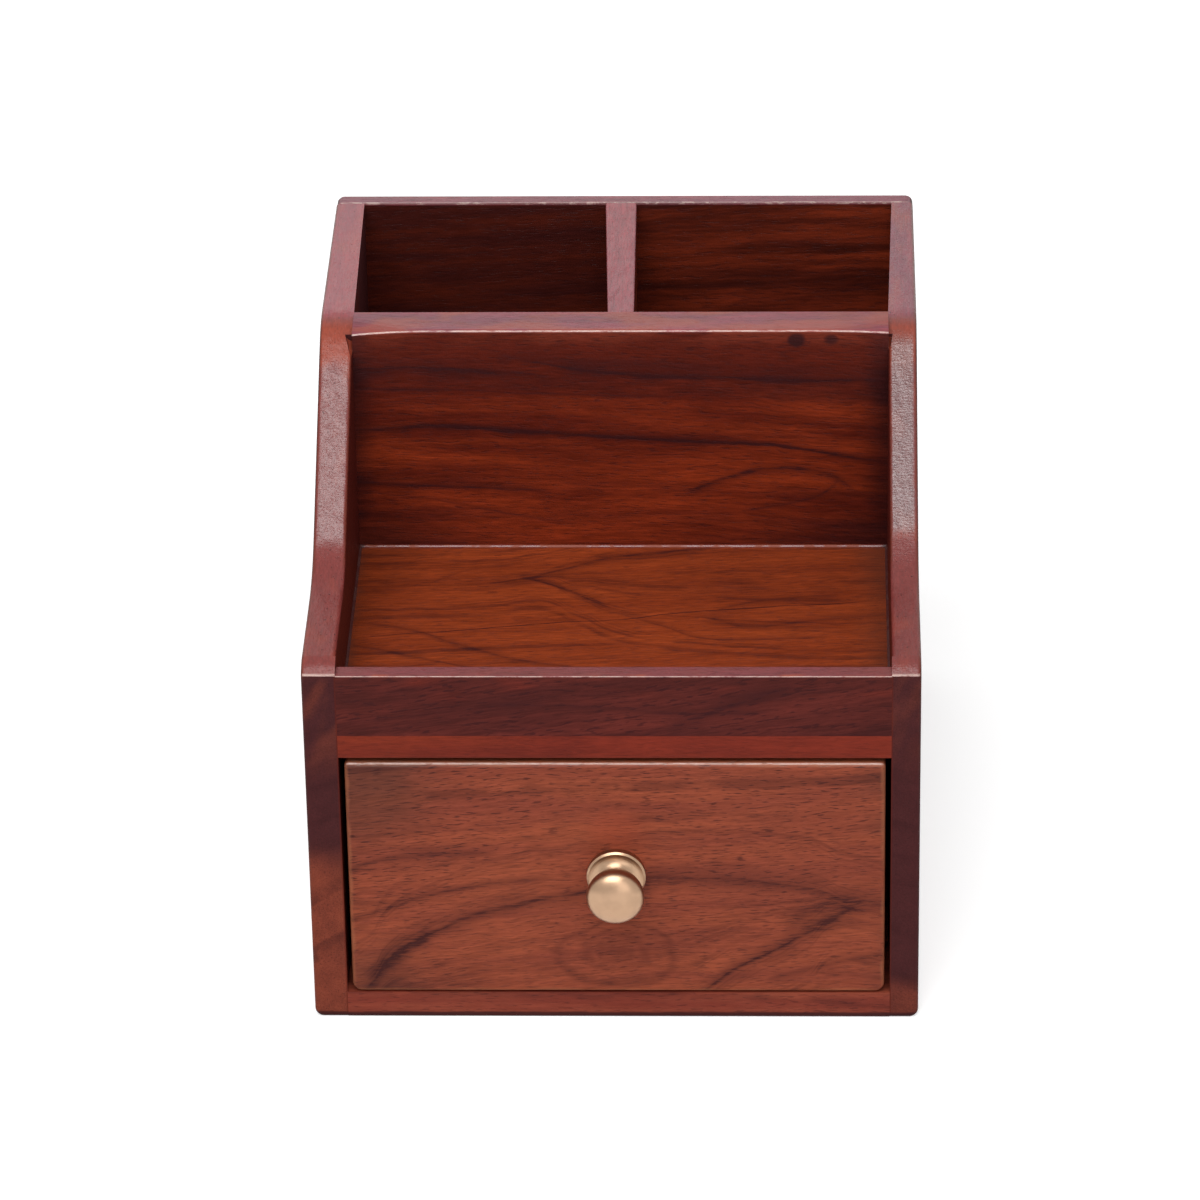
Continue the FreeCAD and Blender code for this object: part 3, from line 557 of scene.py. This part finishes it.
class PENSTAND_OT_pen_box(bpy.types.Operator):
    """Finish the pen box: its front, its divider and the back behind it"""

    bl_idname = "penstand.pen_box"
    bl_label = "Pen box and back"

    def execute(self, context):
        tones = context.scene.pen_stand_tones
        dress("pen_box_front", self.front_wood(tones))
        dress("pen_divider", self.divider_wood(tones))
        dress("back_panel", self.back_wood(tones))
        return {"FINISHED"}

    @staticmethod
    def front_wood(tones):
        wood = Timber("pen_box_front_wood", "x", "z", "y", slope=-0.03, bow=-0.0003, heart=(40.0, 200.0), wander=3.5)
        growth = wood.growth(0.2, 0.46, 0.7)
        marks = wood.strokes(
            ([(-72, 116.4), (-57, 117.1), (-47, 117.9), (-33, 116.9), (-17, 115.4), (2, 114.2), (20, 113.2),
              (43, 111.6), (57, 109.4), (72, 106.0)], 0.85, 0.85, 2.0),
            ([(-34, 139.6), (-16, 134.9), (-3, 133.3), (11, 132.0), (29, 131.4), (73, 130.6)], 1.1, 0.5, 7.0),
            ([(-73, 134.2), (-48, 134.9), (-30, 133.4), (-14, 131.4)], 1.2, 0.45, -6.0),
            ([(-72, 128.6), (-44, 128.3), (-20, 127.2), (18, 126.2)], 0.6, 0.4),
            ([(-70, 101.6), (-54, 100.5), (-41, 100.2), (-16, 98.6)], 0.9, 0.4, 2.0),
            ([(-68, 98.5), (-45, 96.0), (-26, 91.8), (-7, 88.5)], 0.7, 0.3),
            ([(15, 97.0), (24, 101.7), (29, 103.3), (38, 105.6), (47, 105.4), (53, 104.1), (58, 101.4), (62, 97.0)],
              1.3, 0.5, -3.0),
            ([(31, 92.8), (44, 95.4), (50, 97.0), (54, 99.6), (57, 103.4)], 1.0, 0.42),
        )
        knots = 0.0
        for across, height, width, dark in ((-28.9, 137.0, 2.4, 0.3), (45.6, 142.4, 2.3, 0.95),
                                            (54.2, 142.5, 1.9, 0.8)):
            off = wood.oval(across, height, width, width / 1.2) + wood.stray * 2.5
            knots = knots + wood.fall(off, 0.2, 1.4) * dark
        upper = wood.rise(wood.z + (wood.cloud - 0.5) * 8, 118, 134)
        pale = wood.mix(upper, tones.panel_pale, tones.panel_dark)
        # Near the top arris the front is taken toward orange: partly worn wood, partly a painted highlight.
        rubbed_and_highlit = wood.rise(wood.z + wood.stray * 3, 140.0, 143.5) * wood.rise(wood.swell, 0.4, 0.65, 0.25)
        pale, dark = [wood.mix(rubbed_and_highlit, shade, tones.worn) for shade in (pale, tones.panel_dark)]
        # Painted shade: the front is darkened in its lower corners and at its ends beside the sides.
        low_corner = wood.fall(wood.z + (wood.cloud - 0.5) * 6 - abs(wood.x) * 0.22, 68.0, 84.0)
        at_side = wood.rise(abs(wood.x) + wood.stray * 3, 60.5, 69.0)
        corner_shade = wood.math("MAXIMUM", low_corner, at_side * 0.9) * 0.7
        body = wood.colour(pale, dark, tones.line, growth * 0.9, marks + knots + corner_shade, pore=0.45, grain=1.4)
        rim = wood.colour(tones.rim_pale, tones.rim_dark, tones.line, growth, pore=0.25, grain=1.2)
        rim = wood.mix(wood.rise(wood.swell, 0.42, 0.6) * 0.6, rim, tones.worn)
        on_top = wood.upward()
        # Painted highlight along the top front arris.
        colour = wood.add_painted_highlight(wood.mix(on_top, body, rim), tones.painted_highlight, 0.7)
        return wood.lacquer(colour, wood.math("MAXIMUM", on_top * 0.75, 0.1), gloss=0.2)

    @staticmethod
    def divider_wood(tones):
        top = corners("pen_divider")[1].z
        wood = Timber("pen_divider_wood", "y", "z", "x", heart=(20.0, -40.0))
        growth = wood.growth(0.25)
        body = wood.colour(tones.back_pale, tones.back_dark, tones.line, growth, pore=0.4)
        rim = wood.colour(tones.rim_pale, wood.mix(0.5, tones.rim_pale, tones.rim_dark), tones.line, growth * 0.6,
                          pore=0.3, grain=1.2)
        on_top = wood.rise(wood.z, top - 0.5, top - 0.2)
        dent = wood.noise(wood.x * 0.35, wood.y * 0.14, wood.z * 0.2, 1.0)
        return wood.lacquer(wood.mix(on_top, body, rim), wood.math("MAXIMUM", on_top, 0.3), relief=dent * 0.35)

    @staticmethod
    def back_wood(tones):
        low, high = corners("back_panel")
        wood = Timber("back_panel_wood", "x", "z", "y", slope=0.04, bow=-0.0002, heart=(-10.0, 230.0), wander=4.0)
        growth = wood.growth(0.24, 0.42, 0.66) * 0.6
        # Painted light and shade: the back's face in the pockets is painted dark, lighter toward the right pocket, and
        # its outer face is painted lighter.
        lit = wood.rise(wood.x + (wood.cloud - 0.5) * 30, -8, 12)
        outside = wood.rise(wood.y, low.y + 1, low.y + 3)
        lit = wood.math("MAXIMUM", lit, outside * 0.7)
        pale = wood.mix(lit * 0.8 + 0.2, tones.back_dark, tones.back_pale)
        dark = wood.mix(0.45 - lit * 0.35, tones.back_dark, tones.line)
        body = wood.colour(pale, dark, tones.line, growth, pore=0.4, grain=1.2)
        rim = wood.colour(tones.rim_pale, tones.rim_dark, tones.line, growth, pore=0.3, grain=1.2)
        # Painted highlight along the back's front arris, broken in patches that also stand for chips worn in the
        # lacquer.
        chips_and_highlight = wood.noise(wood.x * 0.35, wood.y * 0.6, wood.z * 0.9, 3.0, 0.7)
        front_arris = wood.rise(wood.z, high.z - 0.6, high.z - 0.2) * wood.fall(wood.y, low.y + 0.5, low.y + 0.9)
        rim = wood.mix((0.2 + wood.rise(chips_and_highlight, 0.5, 0.6) * 0.5) * front_arris, rim, tones.painted_highlight)
        on_top = wood.rise(wood.z, high.z - 0.8, high.z - 0.3)
        return wood.lacquer(wood.mix(on_top, body, rim), wood.math("MAXIMUM", on_top, 0.25))


class PENSTAND_OT_base(bpy.types.Operator):
    """Finish the base board that the drawer runs on"""

    bl_idname = "penstand.base"
    bl_label = "Base board"

    def execute(self, context):
        tones = context.scene.pen_stand_tones
        wood = Timber("base_board_wood", "x", "y", "z", slope=0.02, heart=(40.0, -80.0))
        colour = wood.colour(tones.base_pale, tones.base_dark, tones.line, wood.growth(0.2), pore=0.4)
        # Painted shade: the lowest two millimetres are darkened toward the line colour, standing for the contact shadow
        # at the floor.
        colour = wood.mix(wood.fall(wood.z + wood.waver * 0.8, 1.6, 2.4) * 0.9, colour, tones.line)
        dress("base_board", wood.lacquer(colour, wood.swell * 0.1))
        return {"FINISHED"}


# ---------------------------------------------------------------- drawer

class PENSTAND_OT_drawer_front(bpy.types.Operator):
    """Finish the drawer front with its arch of growth rings"""

    bl_idname = "penstand.drawer_front"
    bl_label = "Drawer front"

    def execute(self, context):
        tones = context.scene.pen_stand_tones
        low, high = corners("drawer_front")
        wood = Timber("drawer_front_wood", "x", "z", "y", slope=0.06, bow=-0.0002)
        arch = [(-70, 4.0), (-61, 11.0), (-58, 16.3), (-54, 20.6), (-47, 24.8), (-39, 29.1), (-31, 32.3), (-22, 34.9),
                (-7, 37.8), (8, 40.3), (25, 41.3), (43, 39.7), (50, 38.2), (57, 33.9), (72, 29.0)]
        foot = [(-70, -9.0), (0, -3.0), (19, 4.0), (23, 7.9), (29, 13.3), (37, 18.1), (44, 22.3), (49, 25.5),
                (57, 32.3), (72, 26.0)]
        wood.leaf(arch, foot)
        growth = wood.growth(0.2, 0.46, 0.7)
        marks = wood.strokes(
            ([(-68, 3.0), (-61, 11.0), (-58, 16.3), (-54, 20.6), (-45, 26.0)], 3.8, 0.47, -6.0, 3.2, 0.25),
            ([(-64, 12.0), (-47, 24.8), (-39, 29.1), (-31, 32.3), (-22, 34.9), (-15, 36.3), (-4, 38.0), (14, 39.0)],
              2.4, 0.49, -5.0, 3.2, 0.25),
            ([(-2, 42.0), (16, 41.8), (25, 41.3), (34, 40.8), (43, 39.7), (50, 38.2), (55, 36.1), (63, 29.0)],
              2.7, 0.44, -4.0, 3.2, 0.25),
            ([(14, -1.0), (23, 7.9), (29, 13.3), (37, 18.1), (44, 22.3), (49, 25.5), (55, 29.2), (64, 36.0)],
              2.2, 0.55, 5.0, 3.2, 0.25),
            ([(41, 25.0), (52, 33.0), (57, 35.0), (64, 33.5), (74, 29.5)], 6.4, 0.39),
            ([(-72, 27.0), (-58, 31.7), (-51, 34.3), (-42, 37.0), (-33, 39.1), (-12, 41.4)], 1.2, 0.42, 2.5, 3.2, 0.25),
            ([(-70, 42.4), (-50, 47.8), (-41, 48.5), (-28, 48.0)], 1.8, 0.39),
            ([(36, 10.8), (56, 16.5), (73, 20.4)], 1.8, 0.33),
        )
        marks = marks + wood.fall(wood.oval(-56.0, 13.0, 8.0, 6.5) + wood.stray * 2.4, 0.0, 1.3) * 0.3

        # The eye of the figure: uneven rings below the knob, open at the foot.
        eye = wood.math("SQRT", wood.oval(0.5, 20.5, 15.0, 10.0)) + (wood.cloud - 0.5) * 1.1 + wood.stray * 0.5
        in_eye = wood.fall(eye, 1.0, 1.5)
        rings = wood.fall(eye, 0.1, 0.5) * 0.22
        for radius, weight in ((0.36, 0.14), (0.62, 0.2), (0.98, 0.3)):
            rings = rings + wood.fall(abs(eye - radius), 0.0, 0.13) * weight
        marks = marks + rings * wood.rise(wood.swell, 0.25, 0.6)

        # The corners darken toward an olive brown, and handling has worn the lacquer to a tan on the arrises.
        blot = (wood.swell - 0.5) * 30
        side = wood.math("MINIMUM", wood.x - low.x, high.x - wood.x)
        edge = wood.math("MINIMUM", side, wood.math("MINIMUM", wood.z - low.z, high.z - wood.z))
        worn = wood.fall(edge + wood.stray * 2.4, 0.1, 1.2) * 0.45
        dull = wood.fall(wood.x + (wood.cloud - 0.5) * 50, -62.0, -30.0) + wood.rise(wood.x + blot, 58.0, 72.0) * 0.6
        dull = dull * wood.rise(abs(wood.z - 34) + blot * 0.4, 4.0, 34.0) * 0.8
        pale, dark = [wood.mix(dull, shade, tones.smoke) for shade in (tones.drawer_pale, tones.drawer_dark)]
        colour = wood.colour(pale, dark, tones.line, growth * (1 - in_eye * 0.7), marks,
                             pore=wood.rise(wood.cloud + (wood.z - 40) * 0.004, 0.3, 0.7) * 0.4 + 0.3, grain=1.1)
        colour = wood.mix(worn, colour, tones.tan)
        # Painted reflection: a warm orange patch of the brass knob on the wood just above it.
        colour = wood.mix(wood.fall(wood.oval(0.6, 56.0, 8.0, 6.0), 0.0, 1.2) * 0.5, colour, tones.worn)
        # Painted highlight along the front arrises.
        colour = wood.add_painted_highlight(colour, tones.painted_highlight, 0.5)
        on_top = wood.rise(wood.z, high.z - 1.4, high.z - 0.6)
        dress("drawer_front", wood.lacquer(colour, wood.math("MAXIMUM", on_top, 0.05), peel=0.03, pore=0.07))
        return {"FINISHED"}


class PENSTAND_OT_drawer_box(bpy.types.Operator):
    """Finish the drawer's sides, back and thin bottom, left bare inside the case"""

    bl_idname = "penstand.drawer_box"
    bl_label = "Drawer box"

    def execute(self, context):
        tones = context.scene.pen_stand_tones
        boards = (
            ("drawer_left_side", "y", "z", "x", (-50.0, -20.0)),
            ("drawer_right_side", "y", "z", "x", (90.0, 20.0)),
            ("drawer_back", "x", "z", "y", (-70.0, 20.0)),
        )
        for node, along, across, through, heart in boards:
            wood = Timber(node + "_wood", along, across, through, heart=heart)
            colour = wood.colour(tones.box_pale, tones.box_dark, tones.line, wood.growth(0.2) * 0.6, pore=0.3)
            dress(node, wood.lacquer(colour, None, peel=0.01, pore=0.05, roughness=0.65))

        sheet = Timber("drawer_bottom_wood", "x", "y", "z", heart=(-400.0, 60.0), wander=12.0)
        colour = sheet.colour(tones.ply_pale, tones.ply_dark, tones.box_dark, sheet.growth(0.1) * 0.6, pore=0.25)
        dress("drawer_bottom", sheet.lacquer(colour, None, peel=0.01, roughness=0.65))
        return {"FINISHED"}


# ---------------------------------------------------------------- metal and putty

class PENSTAND_OT_knob(bpy.types.Operator):
    """Finish the turned brass knob, its washer and its screw"""

    bl_idname = "penstand.knob"
    bl_label = "Knob and screw"

    def execute(self, context):
        tones = context.scene.pen_stand_tones
        dress("drawer_knob", self.turned_brass(tones))
        for node in ("knob_washer", "knob_screw"):
            dress(node, plated_wire(node + "_zinc", tones.zinc, 0.3))
        return {"FINISHED"}

    @staticmethod
    def turned_brass(tones):
        low, high = corners("drawer_knob")
        middle = (low + high) / 2
        brass = Paint("drawer_knob_brass")
        from_axis_x = brass.x - middle.x
        from_axis_z = brass.z - middle.z
        radius = brass.math("SQRT", from_axis_x * from_axis_x + from_axis_z * from_axis_z)
        tool_marks = brass.noise_along(radius * 3.2 + brass.y * 2.1, 3.0, 0.6)
        smear = brass.noise(brass.x * 0.25, brass.y * 0.25, brass.z * 0.25, 2.0)
        rough = 0.32 + (tool_marks - 0.5) * 0.14 + (smear - 0.5) * 0.12
        dull = tuple(part * 0.82 for part in tones.brass)
        colour = brass.mix(brass.rise(smear, 0.4, 0.65) * 0.5, tones.brass, dull)
        relief = brass.relief(tool_marks * 0.02)
        return brass.finish(brass.surface(Base_Color=colour, Metallic=1.0, Roughness=rough, Normal=relief))


def plated_wire(name, colour, roughness):
    """Drawn or plated steel, a little uneven."""
    steel = Paint(name)
    scratch = steel.noise(steel.x * 1.8, steel.y * 0.4, steel.z * 1.8, 3.0)
    dull = tuple(part * 0.7 for part in colour)
    shade = steel.mix(steel.rise(scratch, 0.35, 0.7) * 0.7, colour, dull)
    rough = roughness + (scratch - 0.5) * 0.25
    return steel.finish(steel.surface(Base_Color=shade, Metallic=1.0, Roughness=rough,
                                      Normal=steel.relief(scratch * 0.01)))


class PENSTAND_OT_nails(bpy.types.Operator):
    """Finish the brads, the pins in the back and the putty over the sunk heads"""

    bl_idname = "penstand.nails"
    bl_label = "Brads, pins and putty"

    def execute(self, context):
        tones = context.scene.pen_stand_tones
        for node in NODES:
            if node.endswith(("_brads", "_pins")):
                dress(node, plated_wire(node + "_steel", tones.wire, 0.42))
        for node in ("left_side_plugs", "right_side_plugs"):
            putty = Paint(node + "_putty")
            grit = putty.noise(putty.x * 2.4, putty.y * 2.4, putty.z * 2.4, 3.0)
            dark = tuple(part * 0.6 for part in tones.putty)
            colour = putty.mix(putty.rise(grit, 0.35, 0.7), tones.putty, dark)
            dress(node, putty.finish(putty.surface(Base_Color=colour, Roughness=0.55 + (grit - 0.5) * 0.2,
                                                   Specular=0.3, Normal=putty.relief(grit * 0.04))))
        return {"FINISHED"}


# ---------------------------------------------------------------- pooled lacquer

class PENSTAND_OT_beads(bpy.types.Operator):
    """Model the beads of lacquer that pooled along the inner joints of the tray"""

    bl_idname = "penstand.beads"
    bl_label = "Lacquer beads"

    def execute(self, context):
        beads = context.scene.pen_stand_beads
        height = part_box("shelf_board")[1].z
        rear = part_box("pen_box_front")[0].y
        (left, _, _), (right, front, _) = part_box("front_lip")
        lacquer = self.lacquer(context.scene.pen_stand_tones, left / MM, right / MM)
        joints = (
            ("tray_rear_bead", Vector((left, rear, height)), Vector((right, rear, height)), Vector((0, -1, 0)), 3),
            ("tray_left_bead", Vector((left, front, height)), Vector((left, rear, height)), Vector((1, 0, 0)), 5),
            ("tray_right_bead", Vector((right, front, height)), Vector((right, rear, height)), Vector((-1, 0, 0)), 8),
        )
        for name, start, end, inward, seed in joints:
            piece = self.bead(name, start, end, inward, beads, seed)
            piece.data.materials.append(lacquer)
            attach(piece, "case")
        return {"FINISHED"}

    @staticmethod
    def bead(name, start, end, inward, beads, seed):
        """A thin strip in the corner, cut into rings, its free edge rounded off and left uneven."""
        bpy.ops.object.select_all(action="DESELECT")
        run = end - start
        width = beads.width
        middle = (start + end) / 2 + inward * width / 2 + Vector((0, 0, width / 2))
        bpy.ops.mesh.primitive_cube_add(size=1.0, location=middle)
        piece = bpy.context.object
        piece.name = name
        size = [abs(run[axis]) or width for axis in range(3)]
        bpy.ops.object.mode_set(mode="EDIT")
        bpy.ops.transform.resize(value=size)

        mesh = bmesh.from_edit_mesh(piece.data)
        for edge in mesh.edges:
            edge.select = abs((edge.verts[1].co - edge.verts[0].co).dot(run)) > run.length * width
        bmesh.update_edit_mesh(piece.data)
        cuts = max(4, round(beads.cuts * run.length / LONGEST_BEAD))
        bpy.ops.mesh.subdivide(number_cuts=cuts)

        # The free edge, away from both boards, is beveled off and then pushed about.
        mesh = bmesh.from_edit_mesh(piece.data)
        bpy.ops.mesh.select_all(action="DESELECT")
        bpy.ops.mesh.select_mode(type="EDGE")
        free = [edge for edge in mesh.edges
                if all(vert.co.dot(inward) > width * 0.4 and vert.co.z > width * 0.4 for vert in edge.verts)]
        for edge in free:
            edge.select = True
        bmesh.update_edit_mesh(piece.data)
        bpy.ops.mesh.bevel(offset=width * 0.72, segments=3, profile=0.3)
        bpy.ops.transform.vertex_random(offset=beads.unevenness, uniform=0.0, normal=0.0, seed=seed)
        bpy.ops.object.mode_set(mode="OBJECT")
        bpy.ops.object.shade_smooth_by_angle(angle=math.radians(50))
        bpy.ops.object.transform_apply(location=True, rotation=True, scale=True)
        return piece

    @staticmethod
    def lacquer(tones, left, right):
        """Glossy in patches along the rear joint, darker and rougher near the side walls."""
        coat = Paint("pooled_lacquer")
        reach = (right - left) / 2
        by_the_walls = coat.rise(abs(coat.x - (left + right) / 2), reach - 1.6, reach - 0.8)
        cloud = coat.noise(coat.x * 0.3, coat.y * 0.3, coat.z * 0.3, 3.0)
        colour = coat.mix(coat.rise(cloud, 0.4, 0.6), tones.tray_dark, tones.ledge)
        colour = coat.mix(by_the_walls * 0.85, colour, tones.line)
        rough = coat.fall(cloud, 0.42, 0.56) * 0.4 + 0.16 + by_the_walls * 0.3
        return coat.finish(coat.surface(Base_Color=colour, Roughness=rough, Specular=0.5,
                                        Normal=coat.relief(cloud * 0.05)))


# ---------------------------------------------------------------- floor, lamps and camera

class PENSTAND_OT_stage(bpy.types.Operator):
    """Set up the pale floor, the soft lamps and the camera"""

    bl_idname = "penstand.stage"
    bl_label = "Floor, lamps and camera"

    def execute(self, context):
        stage = context.scene.pen_stand_stage
        context.scene.view_settings.view_transform = "Standard"
        self.floor(stage)
        self.room(context.scene, stage)
        self.lamp("softbox", Vector((-0.14, -0.53, 1.0)), Vector((0, 0, 0.1)), (0.9, 0.78), stage.softbox)
        self.lamp("fill", Vector((0.5, -1.3, 0.55)), Vector((0, 0, 0.06)), (0.8, 0.8), stage.softbox * 0.28)
        self.lamp("rim_light", Vector((-0.35, 1.35, 0.88)), Vector((0, 0, 0.14)), (0.9, 0.5), stage.softbox * 0.08)
        self.camera(context.scene, stage)
        return {"FINISHED"}

    @staticmethod
    def floor(stage):
        bpy.ops.object.select_all(action="DESELECT")
        bpy.ops.mesh.primitive_plane_add(size=12.0, location=(0, 0, 0))
        floor = bpy.context.object
        floor.name = "floor"
        paper = Paint("floor_paper")
        mottle = paper.noise(paper.x * 0.002, paper.y * 0.002, 0.0)
        pale = paper.mix(mottle, (0.80, 0.80, 0.80), (0.84, 0.84, 0.84))
        matt = paper.node("ShaderNodeBsdfDiffuse", {}, {"Color": pale}).outputs[0]
        glow = paper.node("ShaderNodeEmission", {}, {"Strength": paper.seen() * stage.floor_glow}).outputs[0]
        both = paper.node("ShaderNodeAddShader", {}, {0: matt, 1: glow}).outputs[0]
        floor.data.materials.append(paper.finish(both))

    @staticmethod
    def room(scene, stage):
        scene.world = bpy.data.worlds.new("room")
        light = Nodes(scene.world)
        strength = stage.room + light.seen() * (1 - stage.room)
        sky = light.node("ShaderNodeBackground", {}, {"Color": (1, 1, 1), "Strength": strength}).outputs[0]
        light.node("ShaderNodeOutputWorld", {}, {"Surface": sky})

    @staticmethod
    def lamp(name, place, aim, size, power):
        light = bpy.data.lights.new(name, "AREA")
        light.shape = "RECTANGLE"
        light.size, light.size_y = size
        light.energy = power
        lamp = bpy.data.objects.new(name, light)
        bpy.context.scene.collection.objects.link(lamp)
        lamp.location = place
        lamp.rotation_euler = (place - aim).to_track_quat("Z", "Y").to_euler()

    @staticmethod
    def camera(scene, stage):
        camera = bpy.data.objects.new("camera", bpy.data.cameras.new("camera"))
        scene.collection.objects.link(camera)
        camera.data.lens = stage.lens
        camera.data.sensor_width = 36.0
        camera.data.dof.use_dof = False
        camera.data.clip_start = 0.05
        forward = Vector((-math.sin(stage.yaw) * math.cos(stage.pitch),
                          math.cos(stage.yaw) * math.cos(stage.pitch), -math.sin(stage.pitch)))
        level = Vector((math.cos(stage.yaw), math.sin(stage.yaw), 0))
        upright = level.cross(forward)
        right = level * math.cos(stage.roll) + upright * math.sin(stage.roll)
        up = upright * math.cos(stage.roll) - level * math.sin(stage.roll)
        aim = Vector((0, 0, stage.aim_height))
        place = aim + right * stage.aside + up * stage.raised - forward * stage.distance
        turned = Matrix((right, up, -forward)).transposed().to_4x4()
        camera.matrix_world = Matrix.Translation(place) @ turned
        scene.camera = camera


# ---------------------------------------------------------------- panel and registration

class PENSTAND_PT_panel(bpy.types.Panel):
    """Lists the stand's finishes and its stage"""

    bl_idname = "PENSTAND_PT_panel"
    bl_label = "Pen stand"
    bl_space_type = "VIEW_3D"
    bl_region_type = "UI"
    bl_category = "Pen stand"

    def draw(self, context):
        for operator in OPERATORS:
            self.layout.operator(operator.bl_idname)
        for group in (context.scene.pen_stand_tones, context.scene.pen_stand_beads, context.scene.pen_stand_stage):
            box = self.layout.box()
            for name in group.bl_rna.properties.keys():
                if name not in ("rna_type", "name"):
                    box.prop(group, name)


OPERATORS = (
    PENSTAND_OT_sides,
    PENSTAND_OT_tray,
    PENSTAND_OT_pen_box,
    PENSTAND_OT_base,
    PENSTAND_OT_drawer_front,
    PENSTAND_OT_drawer_box,
    PENSTAND_OT_knob,
    PENSTAND_OT_nails,
    PENSTAND_OT_beads,
    PENSTAND_OT_stage,
)
GROUPS = (PenStandTones, PenStandStage, PenStandBeads)


def register():
    for made in GROUPS + OPERATORS + (PENSTAND_PT_panel,):
        bpy.utils.register_class(made)
    bpy.types.Scene.pen_stand_tones = PointerProperty(type=PenStandTones)
    bpy.types.Scene.pen_stand_stage = PointerProperty(type=PenStandStage)
    bpy.types.Scene.pen_stand_beads = PointerProperty(type=PenStandBeads)


def unregister():
    del bpy.types.Scene.pen_stand_beads
    del bpy.types.Scene.pen_stand_stage
    del bpy.types.Scene.pen_stand_tones
    for made in reversed(GROUPS + OPERATORS + (PENSTAND_PT_panel,)):
        bpy.utils.unregister_class(made)


def main():
    register()
    for operator in OPERATORS:
        area, name = operator.bl_idname.split(".")
        if getattr(getattr(bpy.ops, area), name)() != {"FINISHED"}:
            raise RuntimeError(operator.bl_label + " did not finish")


if __name__ == "__main__":
    main()
